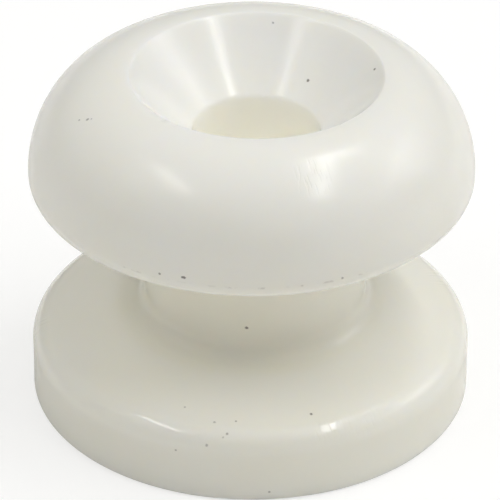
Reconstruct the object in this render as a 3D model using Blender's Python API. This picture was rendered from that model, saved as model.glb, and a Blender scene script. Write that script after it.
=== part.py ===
"""Reel-shaped fence insulator: a single plastic moulding.

Frame: origin at the centre of the base's underside, +Z along the fixing bore
towards the domed flange. All lengths are in metres.
"""
import math

import bmesh
import bpy

# Driving dimensions
FLANGE_RADIUS = 0.0200       # both flanges, at their widest ring
HEIGHT = 0.0320              # base's underside to the rim of the countersink
CROWN_HEIGHT = 0.0095        # rim of the countersink down to the domed flange's widest ring
BASE_THICKNESS = 0.0068      # base flange at its edge
EDGE_RADIUS = 0.0018         # rounding of each flange's edge towards the groove
FOOT_RADIUS = 0.0004         # rounding of the base's lower edge
GROOVE_DRAFT = math.radians(12.5)   # slope of both flange faces in the wire groove
WAIST_RADIUS = 0.0100
WAIST_FILLET = 0.0020
BORE_RADIUS = 0.0057         # clears a 10 mm bolt
RIM_RADIUS = 0.0113          # mouth of the countersink
COUNTERSINK_ANGLE = math.radians(90.0)   # included angle
BORE_CHAMFER = 0.0004        # at the bore's lower mouth

# Facets
TURN_STEPS = 72              # around the axis, a multiple of 4 so the widths are exact
CROWN_STEPS = 12
EDGE_STEPS = 4
FILLET_STEPS = 5
FOOT_STEPS = 2
MERGE_DISTANCE = 0.00001

PLASTIC_COLOUR = (0.78, 0.76, 0.68, 1.0)
PLASTIC_ROUGHNESS = 0.22


def arc(centre, radii, start_deg, end_deg, steps):
    """Points of an elliptical arc in the (radius, height) plane, both ends included."""
    points = []
    for step in range(steps + 1):
        angle = math.radians(start_deg + (end_deg - start_deg) * step / steps)
        points.append((centre[0] + radii[0] * math.cos(angle),
                       centre[1] + radii[1] * math.sin(angle)))
    return points


def crown_outline():
    """The dome: a quarter ellipse from the countersink's rim to the widest ring."""
    centre = (RIM_RADIUS, HEIGHT - CROWN_HEIGHT)
    radii = (FLANGE_RADIUS - RIM_RADIUS, CROWN_HEIGHT)
    return arc(centre, radii, 90.0, 0.0, CROWN_STEPS)


def fillet_centre_offset():
    """Distance along Z from a flange edge's arc centre to its waist fillet's centre."""
    edge_r = FLANGE_RADIUS - EDGE_RADIUS + EDGE_RADIUS * math.sin(GROOVE_DRAFT)
    edge_z = EDGE_RADIUS * math.cos(GROOVE_DRAFT)
    root_r = WAIST_RADIUS + WAIST_FILLET * (1.0 - math.sin(GROOVE_DRAFT))
    root_z = edge_z + (edge_r - root_r) * math.tan(GROOVE_DRAFT)
    return root_z + WAIST_FILLET * math.cos(GROOVE_DRAFT)


def groove_outline():
    """The wire groove: flange edge, sloping face, waist, sloping face, flange edge."""
    draft_deg = math.degrees(GROOVE_DRAFT)
    edge = (EDGE_RADIUS, EDGE_RADIUS)
    fillet = (WAIST_FILLET, WAIST_FILLET)
    edge_r = FLANGE_RADIUS - EDGE_RADIUS
    fillet_r = WAIST_RADIUS + WAIST_FILLET
    upper_z = HEIGHT - CROWN_HEIGHT
    lower_z = BASE_THICKNESS - EDGE_RADIUS
    offset = fillet_centre_offset()

    upper_edge = arc((edge_r, upper_z), edge, 0.0, draft_deg - 90.0, EDGE_STEPS)
    upper_fillet = arc((fillet_r, upper_z - offset), fillet, 90.0 + draft_deg, 180.0, FILLET_STEPS)
    lower_fillet = arc((fillet_r, lower_z + offset), fillet, 180.0, 270.0 - draft_deg, FILLET_STEPS)
    lower_edge = arc((edge_r, lower_z), edge, 90.0 - draft_deg, 0.0, EDGE_STEPS)
    return upper_edge[1:] + upper_fillet + lower_fillet + lower_edge


def foot_outline():
    """The base's lower edge."""
    centre = (FLANGE_RADIUS - FOOT_RADIUS, FOOT_RADIUS)
    return arc(centre, (FOOT_RADIUS, FOOT_RADIUS), 0.0, -90.0, FOOT_STEPS)


def bore_outline():
    """The bore, from the underside up to where the countersink starts."""
    countersink_depth = (RIM_RADIUS - BORE_RADIUS) / math.tan(COUNTERSINK_ANGLE / 2.0)
    return [
        (BORE_RADIUS + BORE_CHAMFER, 0.0),
        (BORE_RADIUS, BORE_CHAMFER),
        (BORE_RADIUS, HEIGHT - countersink_depth),
    ]


def body_outline():
    """Half section of the insulator, down its outer side and back up the bore."""
    return crown_outline() + groove_outline() + foot_outline() + bore_outline()


def outline_mesh(name, outline):
    """A closed loop of edges in the XZ plane, at +X."""
    mesh = bpy.data.meshes.new(name)
    builder = bmesh.new()
    corners = [builder.verts.new((radius, 0.0, height)) for radius, height in outline]
    for index, corner in enumerate(corners):
        builder.edges.new((corner, corners[(index + 1) % len(corners)]))
    builder.to_mesh(mesh)
    builder.free()
    return mesh


def add_turning(piece):
    """Sweep the piece's outline once around Z."""
    screw = piece.modifiers.new("turning", "SCREW")
    screw.axis = "Z"
    screw.angle = math.tau
    screw.screw_offset = 0.0
    screw.steps = TURN_STEPS
    screw.render_steps = TURN_STEPS
    screw.use_merge_vertices = True
    screw.merge_threshold = MERGE_DISTANCE
    screw.use_smooth_shade = True


def plastic_material():
    """Glossy off-white moulding plastic."""
    material = bpy.data.materials.new("off_white_plastic")
    material.use_nodes = True
    shader = material.node_tree.nodes["Principled BSDF"]
    shader.inputs["Base Color"].default_value = PLASTIC_COLOUR
    shader.inputs["Roughness"].default_value = PLASTIC_ROUGHNESS
    shader.inputs["Metallic"].default_value = 0.0
    return material


def add_insulator_body():
    """The single moulding: domed flange, waist, base flange and countersunk bore."""
    mesh = outline_mesh("insulator_body", body_outline())
    piece = bpy.data.objects.new("insulator_body", mesh)
    bpy.context.scene.collection.objects.link(piece)
    mesh.materials.append(plastic_material())
    add_turning(piece)
    return piece


def main():
    for leftover in list(bpy.data.objects):
        bpy.data.objects.remove(leftover, do_unlink=True)
    add_insulator_body()


main()
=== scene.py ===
"""Looks of the reel-shaped fence insulator: one glossy, slightly translucent moulding.

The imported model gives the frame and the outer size. Lengths are in metres; values
written as a number times MM are millimetres. Angles round the axis are in degrees,
0 at +X and -90 at the side that faces the camera.
"""
import math

import bmesh
import bpy
from mathutils import Matrix, Vector, noise


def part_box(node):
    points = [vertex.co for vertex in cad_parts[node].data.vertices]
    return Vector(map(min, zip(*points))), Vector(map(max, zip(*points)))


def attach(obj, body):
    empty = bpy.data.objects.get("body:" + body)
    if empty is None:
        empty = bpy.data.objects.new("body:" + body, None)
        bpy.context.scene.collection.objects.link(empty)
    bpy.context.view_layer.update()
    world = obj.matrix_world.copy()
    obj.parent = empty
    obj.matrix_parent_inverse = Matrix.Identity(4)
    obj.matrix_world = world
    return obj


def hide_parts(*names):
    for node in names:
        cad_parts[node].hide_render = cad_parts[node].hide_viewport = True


MM = 0.001

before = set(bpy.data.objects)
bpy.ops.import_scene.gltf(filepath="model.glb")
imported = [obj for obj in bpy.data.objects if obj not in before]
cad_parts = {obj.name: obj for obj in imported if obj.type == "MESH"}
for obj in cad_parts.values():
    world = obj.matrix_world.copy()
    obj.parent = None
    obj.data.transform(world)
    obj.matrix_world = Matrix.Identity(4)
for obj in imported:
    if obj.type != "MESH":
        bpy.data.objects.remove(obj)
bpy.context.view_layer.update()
LOWEST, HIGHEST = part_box("insulator_body")

# Section of the moulding. The outer radius and the height are the CAD part's.
FLANGE_RADIUS = (HIGHEST.x - LOWEST.x) / 2.0
HEIGHT = HIGHEST.z
WIDEST_HEIGHT = HEIGHT - 9.5 * MM        # the dome's widest ring
BASE_CORNER_HEIGHT = 6.45 * MM           # where the base's side and top would meet unrounded
EDGE_RADIUS = 1.8 * MM                   # under the dome's widest ring
SHOULDER_RADIUS = 2.2 * MM               # round the base's upper edge
FOOT_RADIUS = 0.4 * MM
GROOVE_DRAFT = math.radians(12.5)
WAIST_RADIUS = 10.0 * MM
WAIST_FILLET = 2.0 * MM
BORE_RADIUS = 5.7 * MM
RIM_RADIUS = 11.3 * MM
CONE_ANGLE = 45.0                        # the countersink's wall from the axis, in degrees
RIM_ROUND = 0.25 * MM
DOME_START_RADIUS = RIM_RADIUS + RIM_ROUND * 0.4     # where the rim's rounding meets the dome
DOME_EDGE_DEG = 4.0                      # the dome's last few degrees, above its widest ring
CONE_ROOT_DROP = 0.25 * MM               # the softened corner between cone and bore: how far
CONE_ROOT_OUT = CONE_ROOT_DROP * 0.3     # below the cone it starts, and how far out it ends
MOUTH_CHAMFER = 0.4 * MM

# Spacing of the surface's vertices
COLUMNS = 300
COARSE = 0.90 * MM
MEDIUM = 0.30 * MM
FILLET_SPACING = 0.24 * MM
FINE = 0.12 * MM
FINEST = 0.05 * MM
SAME_POINT = FINEST / 100.0              # points closer than this are one point

# Small departures from the true shape. On the flanges' outer parts the skin only goes inwards,
# so that the CAD size is kept. Nearer the axis a burr may stand a little proud.
PROUD_WITHIN = RIM_RADIUS * 1.5
PROUD_LIMIT = 0.1 * MM
CORE_SHIFT = 0.4 * MM                    # the core pin sits this far off the flanges' centre
CORE_SHIFT_FULL = 12.0 * MM
CORE_SHIFT_NONE = 18.0 * MM
WAVE_HEIGHT = 0.02 * MM
WAVE_LENGTH = 9.0 * MM
SINK_DEPTH = 0.03 * MM                   # the thick base shrinks a little between its edges
PARTING_HEIGHT = WIDEST_HEIGHT - 0.35 * MM
PARTING_WIDTH = 0.07 * MM
PARTING_PROUD = 0.05 * MM                # before the CAD surface cuts it off
PARTING_GAP = 1.3 * MM                   # how often the line's flash swells and fades
PARTING_MEAN = 0.55
PARTING_SPREAD = 0.45
NICK_REACH = 3.0                         # a knock ends this many half widths from its middle

# Knocks in the surface: angle in degrees, then radius, height, width and depth in millimetres.
# A negative depth is a burr.
NICKS = [
    (-135, 11.4, 31.9, 0.60, 0.14),
    (-128, 11.4, 31.9, 0.35, 0.10),
    (-142, 11.4, 31.9, 0.30, 0.08),
    (-50, 11.4, 31.9, 0.50, 0.12),
    (-57, 11.4, 31.9, 0.30, 0.07),
    (160, 11.4, 31.9, 0.40, 0.07),
    (-109, 12.0, 8.2, 0.35, 0.12),
    (-106, 12.1, 8.2, 0.30, -0.10),
    (-111, 11.8, 8.3, 0.25, -0.08),
    (-141, 19.7, 21.4, 0.45, 0.07),
    (-118, 19.8, 21.3, 0.35, 0.06),
    (35, 19.8, 5.9, 0.60, 0.08),
    (150, 19.9, 22.0, 0.50, 0.06),
    (98, 19.9, 5.4, 0.55, 0.07),
]

# Specks of dirt pressed into the plastic: angle in degrees, radius, height and diameter in
# millimetres, and darkness from 0 to 1
SPECKS = [
    (80, 10.6, 31.3, 0.20, 0.6),
    (49, 7.5, 28.0, 0.30, 0.9),
    (11, 11.1, 31.4, 0.30, 0.9),
    (-159.5, 16.0, 30.5, 0.22, 0.6),
    (-157.0, 15.5, 30.7, 0.30, 0.7),
    (-156.0, 15.3, 30.8, 0.20, 0.5),
    (-178, 19.2, 26.5, 0.24, 0.6),
    (-113, 20.0, 22.7, 0.24, 0.8),
    (-107.0, 20.0, 22.8, 0.24, 0.9),
    (-106.5, 20.0, 22.8, 0.28, 0.9),
    (-67, 20.0, 22.4, 0.26, 0.6),
    (-92, 10.0, 11.6, 0.30, 0.9),
    (-110, 16.8, 7.1, 0.20, 0.5),
    (-100, 18.1, 6.9, 0.26, 0.5),
    (-94, 17.8, 6.9, 0.22, 0.6),
    (-96, 19.1, 6.5, 0.26, 0.6),
    (-97, 19.4, 6.3, 0.20, 0.4),
    (-101, 19.9, 5.6, 0.28, 0.5),
    (-109, 20.0, 4.6, 0.22, 0.5),
    (-72, 17.4, 7.0, 0.28, 0.9),
    (-85, 20.0, 0.9, 0.24, 0.6),
]

# Patches scuffed by handling: angle in degrees, then radius, height and width in millimetres
SCUFFS = [
    (-70, 19.3, 6.4, 3.6),
    (-64, 19.3, 6.4, 3.6),
    (-57, 19.3, 6.4, 3.6),
    (-71, 15.9, 30.3, 4.6),
    (-104, 19.6, 6.2, 2.0),
    (20, 19.7, 6.2, 6.0),
    (140, 19.8, 6.0, 8.0),
    (95, 19.9, 21.8, 7.0),
    (-175, 19.8, 6.0, 4.0),
]

CAMERA_DISTANCE = 0.342
CAMERA_ELEVATION = math.radians(32.13)
CAMERA_ROLL = math.radians(0.378)
CAMERA_AIM = Vector((-0.0001, 0.0, 0.01362))
CAMERA_LENS = 271.3
SENSOR_WIDTH = 36.0


# ---------------------------------------------------------------- outline

def arc(centre, radii, start_deg, end_deg, spacing):
    """Points of an elliptical arc in the (radius, height) plane, without the first one."""
    length = math.radians(abs(end_deg - start_deg)) * (radii[0] + radii[1]) / 2.0
    steps = max(2, math.ceil(length / spacing))
    points = []
    for step in range(1, steps + 1):
        angle = math.radians(start_deg + (end_deg - start_deg) * step / steps)
        points.append((centre[0] + radii[0] * math.cos(angle),
                       centre[1] + radii[1] * math.sin(angle)))
    return points


def line(start, end, spacing):
    """Points of a straight stretch, without the first one."""
    steps = max(1, math.ceil(math.dist(start, end) / spacing))
    return [(start[0] + (end[0] - start[0]) * step / steps,
             start[1] + (end[1] - start[1]) * step / steps)
            for step in range(1, steps + 1)]


def straight_to(points, end, spacing):
    """Adds a straight stretch from the last point to end, unless it is there already."""
    if math.dist(points[-1], end) > SAME_POINT:
        points.extend(line(points[-1], end, spacing))


def round_corner(points, corner, after, radius, spacing):
    """Adds a corner of the outline, rounded between the last point and the one after."""
    back = (Vector(points[-1]) - corner).normalized()
    ahead = (Vector(after) - corner).normalized()
    half = back.angle(ahead) / 2.0
    centre = corner + (back + ahead).normalized() * radius / math.sin(half)
    start = corner + back * radius / math.tan(half)
    finish = corner + ahead * radius / math.tan(half)
    turn = math.degrees((start - centre).angle_signed(finish - centre))
    start_deg = math.degrees(math.atan2(start.y - centre.y, start.x - centre.x))
    straight_to(points, tuple(start), MEDIUM)
    points.extend(arc(centre, (radius, radius), start_deg, start_deg - turn, spacing))


def groove_outline(points):
    """Adds the wire groove, from the dome's widest ring to the base's outer side."""
    drop = EDGE_RADIUS * math.tan((math.pi / 2.0 - GROOVE_DRAFT) / 2.0)
    slope = (FLANGE_RADIUS - WAIST_RADIUS) * math.tan(GROOVE_DRAFT)
    roof_edge = Vector((FLANGE_RADIUS, WIDEST_HEIGHT - drop))
    waist_top = Vector((WAIST_RADIUS, roof_edge.y - slope))
    waist_foot = Vector((WAIST_RADIUS, BASE_CORNER_HEIGHT + slope))
    floor_edge = Vector((FLANGE_RADIUS, BASE_CORNER_HEIGHT))
    round_corner(points, roof_edge, waist_top, EDGE_RADIUS, FINEST)
    round_corner(points, waist_top, waist_foot, WAIST_FILLET, FILLET_SPACING)
    round_corner(points, waist_foot, floor_edge, WAIST_FILLET, FILLET_SPACING)
    round_corner(points, floor_edge, (FLANGE_RADIUS, 0.0), SHOULDER_RADIUS, FINE)


def rim_outline():
    """The rounded rim between the countersink's wall and the dome."""
    return arc((DOME_START_RADIUS, HEIGHT - RIM_ROUND), (RIM_ROUND, RIM_ROUND),
               90.0 + CONE_ANGLE, 90.0, FINEST)


def body_outline():
    """Half section: over the dome, down the outer side, under the base, up the bore."""
    dome_centre = (DOME_START_RADIUS, WIDEST_HEIGHT)
    dome_radii = (FLANGE_RADIUS - DOME_START_RADIUS, HEIGHT - WIDEST_HEIGHT)
    points = rim_outline()
    points.extend(arc(dome_centre, dome_radii, 90.0, DOME_EDGE_DEG, MEDIUM))
    points.extend(arc(dome_centre, dome_radii, DOME_EDGE_DEG, 0.0, FINE))
    groove_outline(points)
    straight_to(points, (FLANGE_RADIUS, FOOT_RADIUS), MEDIUM)
    points.extend(arc((FLANGE_RADIUS - FOOT_RADIUS, FOOT_RADIUS), (FOOT_RADIUS, FOOT_RADIUS),
                      0.0, -90.0, FINE))
    straight_to(points, (BORE_RADIUS + MOUTH_CHAMFER, 0.0), COARSE)
    straight_to(points, (BORE_RADIUS, MOUTH_CHAMFER), MEDIUM)
    cone_root = HEIGHT - (RIM_RADIUS - BORE_RADIUS)
    straight_to(points, (BORE_RADIUS, cone_root - CONE_ROOT_DROP), COARSE)
    straight_to(points, (BORE_RADIUS + CONE_ROOT_OUT, cone_root), FINE)
    straight_to(points, points[0], MEDIUM)
    return points[:-1]


# ---------------------------------------------------------------- surface

def fade(value, full, none):
    """1 at full, 0 at none, with a smooth step in between."""
    share = min(1.0, max(0.0, (value - none) / (full - none)))
    return share * share * (3.0 - 2.0 * share)


def outward_directions(outline):
    """The outline's outward normal at each of its points, as (radius, height) pairs."""
    directions = []
    for index, point in enumerate(outline):
        before = outline[index - 1]
        after = outline[(index + 1) % len(outline)]
        along = Vector((after[0] - before[0], after[1] - before[1])).normalized()
        directions.append((-along.y, along.x))
    return directions


def core_shift(radius):
    """How far +X the core pin has carried the plastic at a radius."""
    return CORE_SHIFT * fade(radius, CORE_SHIFT_FULL, CORE_SHIFT_NONE)


def on_surface(angle_deg, radius, height):
    """The skin's nearest point to a place given as an angle, and millimetres out and up."""
    angle = math.radians(angle_deg)
    shift = core_shift(radius * MM)
    x = radius * MM * math.cos(angle) - shift
    y = radius * MM * math.sin(angle)
    wanted = (math.hypot(x, y), height * MM)
    near = min(OUTLINE, key=lambda point: math.dist(point, wanted))
    stretch = near[0] / wanted[0]
    return Vector((x * stretch + shift, y * stretch, near[1]))


OUTLINE = body_outline()
NICK_PLACES = [(on_surface(*nick[:3]), nick[3] * MM / 2.0, nick[4] * MM) for nick in NICKS]


def nick_depth(place):
    """How deep the knocks reach at a place: positive is a dent, negative is a burr."""
    depth = 0.0
    for middle, half_width, full_depth in NICK_PLACES:
        away = (place - middle).length / half_width
        if away < NICK_REACH:
            depth += full_depth * math.exp(-away * away)
    return depth


def surface_height(angle, radius, height):
    """How far the moulding's skin stands out of the true shape: less than 0 is inwards."""
    place = Vector((radius * math.cos(angle), radius * math.sin(angle), height))
    stand_off = (noise.noise(place / WAVE_LENGTH) - 1.0) * WAVE_HEIGHT / 2.0
    if radius > FLANGE_RADIUS - EDGE_RADIUS and height > BASE_CORNER_HEIGHT:
        ridge = math.exp(-((height - PARTING_HEIGHT) / PARTING_WIDTH) ** 2)
        ragged = PARTING_MEAN + PARTING_SPREAD * noise.noise(place / PARTING_GAP)
        stand_off += ridge * ragged * PARTING_PROUD
    if radius > FLANGE_RADIUS - FOOT_RADIUS and height < BASE_CORNER_HEIGHT:
        stand_off -= SINK_DEPTH * math.sin(math.pi * height / BASE_CORNER_HEIGHT) ** 2
    limit = 0.0 if radius > PROUD_WITHIN else PROUD_LIMIT
    return min(stand_off - nick_depth(place), limit)


def insulator_mesh():
    """The outline turned once round the axis, with its small irregularities."""
    outward = outward_directions(OUTLINE)
    builder = bmesh.new()
    rings = []
    for column in range(COLUMNS):
        angle = math.tau * column / COLUMNS
        ring = []
        for (radius, height), (out_r, out_z) in zip(OUTLINE, outward):
            stand_off = surface_height(angle, radius, height)
            turned = radius + out_r * stand_off
            raised = min(HEIGHT, max(0.0, height + out_z * stand_off))
            ring.append(builder.verts.new((turned * math.cos(angle) + core_shift(radius),
                                           turned * math.sin(angle), raised)))
        rings.append(ring)
    for column, ring in enumerate(rings):
        after = rings[(column + 1) % COLUMNS]
        for row in range(len(ring)):
            below = (row + 1) % len(ring)
            builder.faces.new((ring[row], ring[below], after[below], after[row]))
    mesh = bpy.data.meshes.new("insulator_moulding")
    builder.to_mesh(mesh)
    builder.free()
    mesh.shade_smooth()
    return mesh


# ---------------------------------------------------------------- material

class Graph:
    """Short calls for building a material's nodes and linking them."""

    def __init__(self, tree):
        self.nodes = tree.nodes
        self.links = tree.links

    def node(self, kind, **settings):
        """A new node of a kind, with its settings."""
        made = self.nodes.new(kind)
        for name, value in settings.items():
            setattr(made, name, value)
        return made

    def feed(self, socket, value):
        """Links an output to the socket, or sets the socket to a plain value."""
        if isinstance(value, bpy.types.NodeSocket):
            self.links.new(value, socket)
        else:
            socket.default_value = value

    def math(self, operation, first, second=0.0, clamp=False):
        """The number that a sum makes of one or two numbers."""
        made = self.node("ShaderNodeMath", operation=operation, use_clamp=clamp)
        self.feed(made.inputs[0], first)
        self.feed(made.inputs[1], second)
        return made.outputs[0]

    def vector(self, operation, first, second):
        """The vector that a sum makes of two vectors, or the number if it gives one."""
        made = self.node("ShaderNodeVectorMath", operation=operation)
        self.feed(made.inputs[0], first)
        self.feed(made.inputs[1], second)
        gives_number = operation in ("LENGTH", "DISTANCE", "DOT_PRODUCT")
        return made.outputs["Value" if gives_number else "Vector"]

    def ramp(self, value, start, end, low=0.0, high=1.0):
        """low at start, high at end, with a smooth step in between."""
        made = self.node("ShaderNodeMapRange", interpolation_type="SMOOTHSTEP")
        for name, setting in (("Value", value), ("From Min", start), ("From Max", end),
                              ("To Min", low), ("To Max", high)):
            self.feed(made.inputs[name], setting)
        return made.outputs["Result"]

    def noise(self, place, size, detail=2.0, roughness=0.5):
        """Noise between 0 and 1, with features of about size metres."""
        made = self.node("ShaderNodeTexNoise")
        self.feed(made.inputs["Vector"], place)
        made.inputs["Scale"].default_value = 1.0 / size
        made.inputs["Detail"].default_value = detail
        made.inputs["Roughness"].default_value = roughness
        return made.outputs["Fac"]

    def mix(self, share, first, second):
        """A colour mixed from first and second."""
        made = self.node("ShaderNodeMix", data_type="RGBA")
        self.feed(made.inputs["Factor"], share)
        self.feed(made.inputs["A"], first)
        self.feed(made.inputs["B"], second)
        return made.outputs["Result"]


PLASTIC_COLOUR = (0.925, 0.915, 0.87, 1.0)
# One colour for the plastic's yellow tint and for the painted shade deep in the groove
YELLOW_TINT_AND_SHADE_COLOUR = (0.905, 0.885, 0.77, 1.0)
DIRT_COLOUR = (0.19, 0.17, 0.145, 1.0)
GRIME_COLOUR = (0.50, 0.47, 0.40, 1.0)

# A pair of limits is where something is absent and where it is complete.
SPECK_RAGGED_SIZE = 0.15 * MM
SPECK_RAGGED_BASE = 0.5
SPECK_EDGE = 0.65                        # a placed speck fades in between these shares of its
SPECK_CORE = 0.25                        # diameter from its middle
STREWN_CELL = 4.5 * MM                   # a strewn speck has a cell of this size to itself
STREWN_RADIUS = (0.055, 0.030)           # as shares of the cell
STREWN_CHOSEN = 0.62                     # a cell has a speck if its random value is above this
STREWN_DEPTH = (6.0 * MM, 10.0 * MM)     # only towards the back

GRIME_RISE = 0.16 * MM                   # the grime's middle is this far above the parting line
GRIME_BAND = (0.14 * MM, 0.04 * MM)
GRIME_RADIUS = (19.4 * MM, 19.7 * MM)
GRIME_DASH = 1.4 * MM
GRIME_DASH_LEVELS = (0.50, 0.62)
GRIME_PATCH = 16.0 * MM
GRIME_PATCH_LEVELS = (0.42, 0.58)
GRIME_STRENGTH = 0.45

SCUFF_SPACING = 0.30 * MM
SCUFF_LENGTH = 0.9 * MM
SCUFF_LEVELS = (0.52, 0.64)
SCUFF_DEPTH = 0.012 * MM
PEEL_SIZE = 1.1 * MM                     # the faint unevenness of a moulded skin
PEEL_DEPTH = 0.003 * MM

CLOUD_SIZE = 8.0 * MM                    # the yellowing comes in clouds of this size
CLOUD_LEVELS = (0.25, 0.75)
OUTSIDE_RADIUS = (10.8 * MM, 12.0 * MM)  # outside the countersink and the bore
# Painted shade: the groove's hollow is tinted darker and yellower inside these radii and below the
# dome's widest ring, partly the plastic's own tint
GROOVE_RADIUS = (13.0 * MM, 10.5 * MM)
GROOVE_DEPTH = 4.0 * MM                  # below the dome's widest ring
# The base is tinted yellower towards the bottom, between these heights
LOW_HEIGHT = (9.0 * MM, 2.0 * MM)
CLOUD_YELLOWING = 0.25
OUTSIDE_YELLOWING = 0.30
# painted shade in the groove, partly a yellow tint of the plastic
GROOVE_SHADE_AND_TINT = 0.70
LOW_YELLOW_TINT = 0.30

GLOSS_PATCH = 9.0 * MM                   # the gloss changes over patches of this size
GLOSS_LEVELS = (0.30, 0.70)
ROUGHNESS = (0.17, 0.21)
OUTSIDE_ROUGHNESS = 0.04
SCUFF_ROUGHNESS = 0.02
SPECK_ROUGHNESS = 0.30
SHOULDER_START = (16.6 * MM, 17.6 * MM)  # the base's upper edge: its radius and its height
SHOULDER_TOP = (7.1 * MM, 6.6 * MM)
POLISHED_LEFT = (-5.0 * MM, -7.0 * MM)   # two stretches of that edge are rubbed smoother
POLISHED_RIGHT = (4.0 * MM, 7.0 * MM)
LEFT_POLISH = 0.17
RIGHT_POLISH = 0.12

PLASTIC_IOR = 1.49
SCATTER_SHARE = 0.5
SCATTER_RADIUS = (1.0, 0.9, 0.7)
SCATTER_SCALE = 2.0 * MM


def speck_mask(graph, place):
    """1 on the specks of dirt that are listed, 0 elsewhere."""
    ragged = graph.noise(place, SPECK_RAGGED_SIZE)
    mask = 0.0
    for angle_deg, radius, height, width, darkness in SPECKS:
        away = graph.vector("DISTANCE", place, on_surface(angle_deg, radius, height))
        away = graph.math("MULTIPLY", away, graph.math("ADD", ragged, SPECK_RAGGED_BASE))
        spot = graph.ramp(away, width * MM * SPECK_EDGE, width * MM * SPECK_CORE, 0.0, darkness)
        mask = graph.math("MAXIMUM", spot, mask)
    return mask


def scattered_specks(graph, place, depth):
    """1 on small specks strewn over the rear, 0 elsewhere."""
    cells = graph.node("ShaderNodeTexVoronoi")
    graph.feed(cells.inputs["Vector"], place)
    cells.inputs["Scale"].default_value = 1.0 / STREWN_CELL
    spots = graph.ramp(cells.outputs["Distance"], *STREWN_RADIUS)
    chosen = graph.math("GREATER_THAN", cells.outputs["Color"], STREWN_CHOSEN)
    rear = graph.ramp(depth, *STREWN_DEPTH)
    return graph.math("MULTIPLY", graph.math("MULTIPLY", spots, chosen), rear)


def parting_grime(graph, place, radius, height):
    """1 on dashes of grey grime along the parting line, 0 elsewhere."""
    off_line = graph.math("ABSOLUTE", graph.math("SUBTRACT", height, PARTING_HEIGHT + GRIME_RISE))
    band = graph.ramp(off_line, *GRIME_BAND)
    outer = graph.ramp(radius, *GRIME_RADIUS)
    dashes = graph.ramp(graph.noise(place, GRIME_DASH, 3.0, 0.6), *GRIME_DASH_LEVELS)
    patches = graph.ramp(graph.noise(place, GRIME_PATCH, 1.0), *GRIME_PATCH_LEVELS)
    return graph.math("MULTIPLY", graph.math("MULTIPLY", band, outer),
                      graph.math("MULTIPLY", dashes, patches))


def rubbed_marks(graph, place, angle, height):
    """Fine scuffs that run up and down in the scuffed patches: up to 1 in one, 0 elsewhere."""
    unrolled = graph.node("ShaderNodeCombineXYZ")
    graph.feed(unrolled.inputs["X"], graph.math("MULTIPLY", angle, FLANGE_RADIUS / SCUFF_SPACING))
    graph.feed(unrolled.inputs["Y"], graph.math("DIVIDE", height, SCUFF_LENGTH))
    lines = graph.ramp(graph.noise(unrolled.outputs[0], 1.0, 1.0), *SCUFF_LEVELS)
    where = 0.0
    for angle_deg, radius, height_mm, width in SCUFFS:
        away = graph.vector("DISTANCE", place, on_surface(angle_deg, radius, height_mm))
        patch = graph.ramp(away, width * MM / 2.0, width * MM / 5.0)
        where = graph.math("MAXIMUM", patch, where)
    return graph.math("MULTIPLY", lines, where)


def yellow_tint_and_groove_shade(graph, place, radius, height, outside):
    """How strongly the colour leans to the yellow tint colour, from 0 to 1: in clouds, more
    outside the countersink, more towards the bottom, and most of all deep in the groove, where it
    is painted shade in the hollow as well as the plastic's own tint.
    """
    clouds = graph.ramp(graph.noise(place, CLOUD_SIZE, 1.0), *CLOUD_LEVELS)
    groove = graph.math("MULTIPLY", graph.ramp(radius, *GROOVE_RADIUS),
                        graph.ramp(height, WIDEST_HEIGHT, WIDEST_HEIGHT - GROOVE_DEPTH))
    low = graph.ramp(height, *LOW_HEIGHT)
    total = 0.0
    for share, amount in ((clouds, CLOUD_YELLOWING), (outside, OUTSIDE_YELLOWING),
                          (groove, GROOVE_SHADE_AND_TINT), (low, LOW_YELLOW_TINT)):
        total = graph.math("ADD", graph.math("MULTIPLY", share, amount), total, clamp=True)
    return total


def polish(graph, radius, height, across):
    """How much smoother the base's upper edge is on its two rubbed stretches."""
    edge = graph.math("MULTIPLY", graph.ramp(radius, *SHOULDER_START),
                      graph.ramp(height, *SHOULDER_TOP))
    left = graph.ramp(across, *POLISHED_LEFT, 0.0, LEFT_POLISH)
    right = graph.ramp(across, *POLISHED_RIGHT, 0.0, RIGHT_POLISH)
    return graph.math("MULTIPLY", edge, graph.math("ADD", left, right))


def surface_roughness(graph, place, outside, rubbed, marks, specks):
    """The shader's roughness."""
    roughness = graph.ramp(graph.noise(place, GLOSS_PATCH, 2.0), *GLOSS_LEVELS, *ROUGHNESS)
    roughness = graph.math("ADD", roughness, graph.math("MULTIPLY", outside, OUTSIDE_ROUGHNESS))
    roughness = graph.math("SUBTRACT", roughness, rubbed)
    roughness = graph.math("ADD", roughness, graph.math("MULTIPLY", marks, SCUFF_ROUGHNESS))
    return graph.math("ADD", roughness, graph.math("MULTIPLY", specks, SPECK_ROUGHNESS))


def surface_relief(graph, place, marks):
    """The normal, bent by the skin's faint unevenness and by the scuffs."""
    peel = graph.math("MULTIPLY", graph.noise(place, PEEL_SIZE, 1.0), PEEL_DEPTH)
    cut = graph.math("MULTIPLY", marks, -SCUFF_DEPTH)
    bump = graph.node("ShaderNodeBump")
    bump.inputs["Strength"].default_value = 1.0
    bump.inputs["Distance"].default_value = 1.0
    graph.feed(bump.inputs["Height"], graph.math("ADD", peel, cut))
    return bump.outputs["Normal"]


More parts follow.
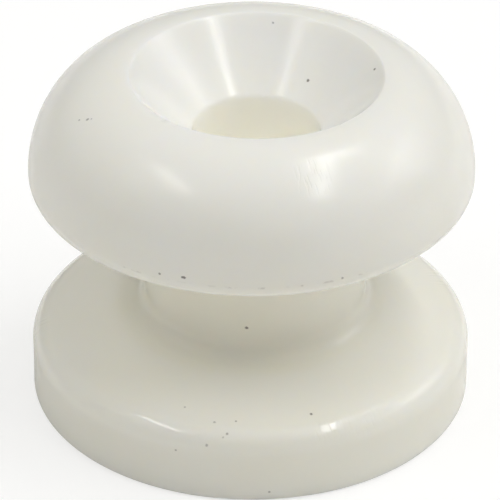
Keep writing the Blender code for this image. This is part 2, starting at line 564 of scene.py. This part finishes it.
def plastic_material():
    """Glossy off-white plastic that lets some light in, with handling marks and dirt."""
    material = bpy.data.materials.new("off_white_moulding")
    material.use_nodes = True
    graph = Graph(material.node_tree)
    shader = graph.nodes["Principled BSDF"]
    place = graph.node("ShaderNodeTexCoord").outputs["Object"]
    parts = graph.node("ShaderNodeSeparateXYZ")
    graph.feed(parts.inputs[0], place)
    across, depth, height = (parts.outputs[axis] for axis in "XYZ")
    flat = graph.node("ShaderNodeCombineXYZ")
    graph.feed(flat.inputs["X"], across)
    graph.feed(flat.inputs["Y"], depth)
    radius = graph.vector("LENGTH", flat.outputs[0], (0.0, 0.0, 0.0))
    angle = graph.math("ARCTAN2", depth, across)
    outside = graph.ramp(radius, *OUTSIDE_RADIUS)

    specks = graph.math("MAXIMUM", speck_mask(graph, place), scattered_specks(graph, place, depth))
    marks = rubbed_marks(graph, place, angle, height)
    grime = parting_grime(graph, place, radius, height)

    # The tint carries painted shade deep in the groove as well as the plastic's yellow tint
    tint_and_groove_shade = yellow_tint_and_groove_shade(graph, place, radius, height, outside)
    colour = graph.mix(tint_and_groove_shade, PLASTIC_COLOUR, YELLOW_TINT_AND_SHADE_COLOUR)
    colour = graph.mix(graph.math("MULTIPLY", grime, GRIME_STRENGTH), colour, GRIME_COLOUR)
    graph.feed(shader.inputs["Base Color"], graph.mix(specks, colour, DIRT_COLOUR))
    rubbed = polish(graph, radius, height, across)
    graph.feed(shader.inputs["Roughness"],
               surface_roughness(graph, place, outside, rubbed, marks, specks))
    graph.feed(shader.inputs["Normal"], surface_relief(graph, place, marks))

    shader.inputs["IOR"].default_value = PLASTIC_IOR
    shader.inputs["Subsurface Weight"].default_value = SCATTER_SHARE
    shader.inputs["Subsurface Radius"].default_value = SCATTER_RADIUS
    shader.inputs["Subsurface Scale"].default_value = SCATTER_SCALE
    return material


def add_insulator():
    """The moulding, on the CAD's one body and in place of its plain solid."""
    mesh = insulator_mesh()
    piece = bpy.data.objects.new("insulator_moulding", mesh)
    bpy.context.scene.collection.objects.link(piece)
    mesh.materials.append(plastic_material())
    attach(piece, "root")
    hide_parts("insulator_body")


# ---------------------------------------------------------------- studio

FLOOR_RADIUS = 6.0
FLOOR_SIDES = 96
FLOOR_DROP = 0.05 * MM                   # keeps the floor clear of the base's underside
FLOOR_COLOUR = (0.93, 0.92, 0.89, 1.0)
FLOOR_ROUGHNESS = 0.9
FLOOR_GLOW = 1.14                        # only the camera sees this glow
FLOOR_GLOW_SHARE = 0.55
GLOW_COLOUR = (1.0, 0.975, 0.92)
AIM = (0.0, 0.0, 0.02)                   # the middle of the insulator, which the lights face

# Lights: name, place, length and width, power in watts, and the direction of the length
LIGHTS = [
    ("ceiling_tube_right", (0.44, -0.13, 1.0), (0.95, 0.10), 3.0, (-0.364, 0.871, 0.0)),
    ("ceiling_lamp_far", (0.37, 0.31, 1.0), (0.26, 0.16), 0.70, (1.0, 0.0, 0.0)),
    ("ceiling_tube_outer", (1.50, 0.06, 1.0), (1.20, 0.15), 1.1, (-0.40, 0.92, 0.0)),
    ("ceiling_tube_left", (-0.54, -0.20, 1.0), (0.60, 0.10), 0.95, (0.0, 1.0, 0.0)),
    ("ceiling_panel_left", (-0.80, -0.25, 1.0), (0.60, 0.50), 0.6, (1.0, 0.0, 0.0)),
    ("window", (0.80, 0.24, 0.56), (0.55, 0.45), 0.85, (1.0, 0.0, 0.0)),
]

# Colour and brightness of the surroundings towards each side, fading away from it
SURROUNDINGS = [
    ((0.0, 0.0, 1.0), (0.752, 0.762, 0.786)),
    ((-1.0, 0.0, 0.0), (0.44, 0.43, 0.40)),
    ((1.0, 0.0, 0.0), (0.44, 0.44, 0.44)),
    ((0.0, 1.0, 0.0), (0.10, 0.10, 0.09)),
]
BACKDROP_COLOUR = (0.86, 0.86, 0.86, 1.0)


def add_floor():
    """A plain pale floor that looks nearly white and still takes a soft shadow."""
    mesh = bpy.data.meshes.new("floor")
    builder = bmesh.new()
    bmesh.ops.create_circle(builder, cap_ends=True, segments=FLOOR_SIDES, radius=FLOOR_RADIUS)
    builder.to_mesh(mesh)
    builder.free()
    floor = bpy.data.objects.new("floor", mesh)
    bpy.context.scene.collection.objects.link(floor)
    floor.location.z = -FLOOR_DROP
    material = bpy.data.materials.new("pale_floor")
    material.use_nodes = True
    graph = Graph(material.node_tree)
    shader = graph.nodes["Principled BSDF"]
    shader.inputs["Base Color"].default_value = FLOOR_COLOUR
    shader.inputs["Roughness"].default_value = FLOOR_ROUGHNESS
    shader.inputs["Specular IOR Level"].default_value = 0.0
    glow = graph.node("ShaderNodeEmission")
    glow.inputs["Strength"].default_value = FLOOR_GLOW
    seen = graph.node("ShaderNodeLightPath").outputs["Is Camera Ray"]
    blend = graph.node("ShaderNodeMixShader")
    graph.feed(blend.inputs[0], graph.math("MULTIPLY", seen, FLOOR_GLOW_SHARE))
    graph.feed(blend.inputs[1], shader.outputs[0])
    graph.feed(blend.inputs[2], glow.outputs[0])
    graph.feed(graph.nodes["Material Output"].inputs["Surface"], blend.outputs[0])
    mesh.materials.append(material)


def add_area_light(name, place, size, power, along):
    """A rectangular soft light at place that faces the insulator, with its length along."""
    data = bpy.data.lights.new(name, "AREA")
    data.shape = "RECTANGLE"
    data.size, data.size_y = size
    data.energy = power
    light = bpy.data.objects.new(name, data)
    bpy.context.scene.collection.objects.link(light)
    back = (Vector(place) - Vector(AIM)).normalized()
    side = Vector(along)
    side = (side - back * side.dot(back)).normalized()
    turn = Matrix((side, back.cross(side), back)).transposed().to_4x4()
    light.matrix_world = Matrix.Translation(place) @ turn


def add_glow(name, kind, place, power, size):
    """A small unseen light that stands in for what the plastic lets through into a hollow."""
    data = bpy.data.lights.new(name, kind)
    data.energy = power
    data.color = GLOW_COLOUR
    if kind == "AREA":
        data.shape = "DISK"
        data.size = size
    else:
        data.shadow_soft_size = size / 2.0
    light = bpy.data.objects.new(name, data)
    light.location = place
    light.visible_camera = False
    light.visible_glossy = False
    bpy.context.scene.collection.objects.link(light)


def add_lights():
    """The room's lights, and the faint light that comes through into the two hollows."""
    for light in LIGHTS:
        add_area_light(*light)
    add_glow("bore_glow", "POINT", (CORE_SHIFT, 0.0, 12.0 * MM), 0.00072, 6.0 * MM)
    add_glow("groove_glow", "AREA", (0.0, 0.0, 19.0 * MM), 0.00042, 34.0 * MM)


def add_world():
    """A bright ceiling and dimmer side walls; the camera sees a plain pale backdrop."""
    world = bpy.data.worlds.new("studio")
    bpy.context.scene.world = world
    world.use_nodes = True
    graph = Graph(world.node_tree)
    direction = graph.node("ShaderNodeTexCoord").outputs["Generated"]
    total = (0.0, 0.0, 0.0)
    for side, colour in SURROUNDINGS:
        facing = graph.math("MAXIMUM", graph.vector("DOT_PRODUCT", direction, side), 0.0)
        lobe = graph.node("ShaderNodeVectorMath", operation="SCALE")
        lobe.inputs[0].default_value = colour
        graph.feed(lobe.inputs["Scale"], graph.math("MULTIPLY", facing, facing))
        total = graph.vector("ADD", lobe.outputs["Vector"], total)
    seen = graph.node("ShaderNodeLightPath").outputs["Is Camera Ray"]
    background = graph.nodes["Background"]
    graph.feed(background.inputs["Color"], graph.mix(seen, total, BACKDROP_COLOUR))


def add_camera():
    """The photograph's viewing angle: from the front, looking down, with a long lens."""
    data = bpy.data.cameras.new("camera")
    data.lens = CAMERA_LENS
    data.sensor_width = SENSOR_WIDTH
    camera = bpy.data.objects.new("camera", data)
    bpy.context.scene.collection.objects.link(camera)
    forward = Vector((0.0, math.cos(CAMERA_ELEVATION), -math.sin(CAMERA_ELEVATION)))
    level = Vector((1.0, 0.0, 0.0))
    upright = level.cross(forward)
    right = math.cos(CAMERA_ROLL) * level + math.sin(CAMERA_ROLL) * upright
    up = math.cos(CAMERA_ROLL) * upright - math.sin(CAMERA_ROLL) * level
    turn = Matrix((right, up, -forward)).transposed().to_4x4()
    camera.matrix_world = Matrix.Translation(CAMERA_AIM - forward * CAMERA_DISTANCE) @ turn
    bpy.context.scene.camera = camera


add_insulator()
add_floor()
add_lights()
add_world()
add_camera()
bpy.context.scene.view_settings.view_transform = "Standard"
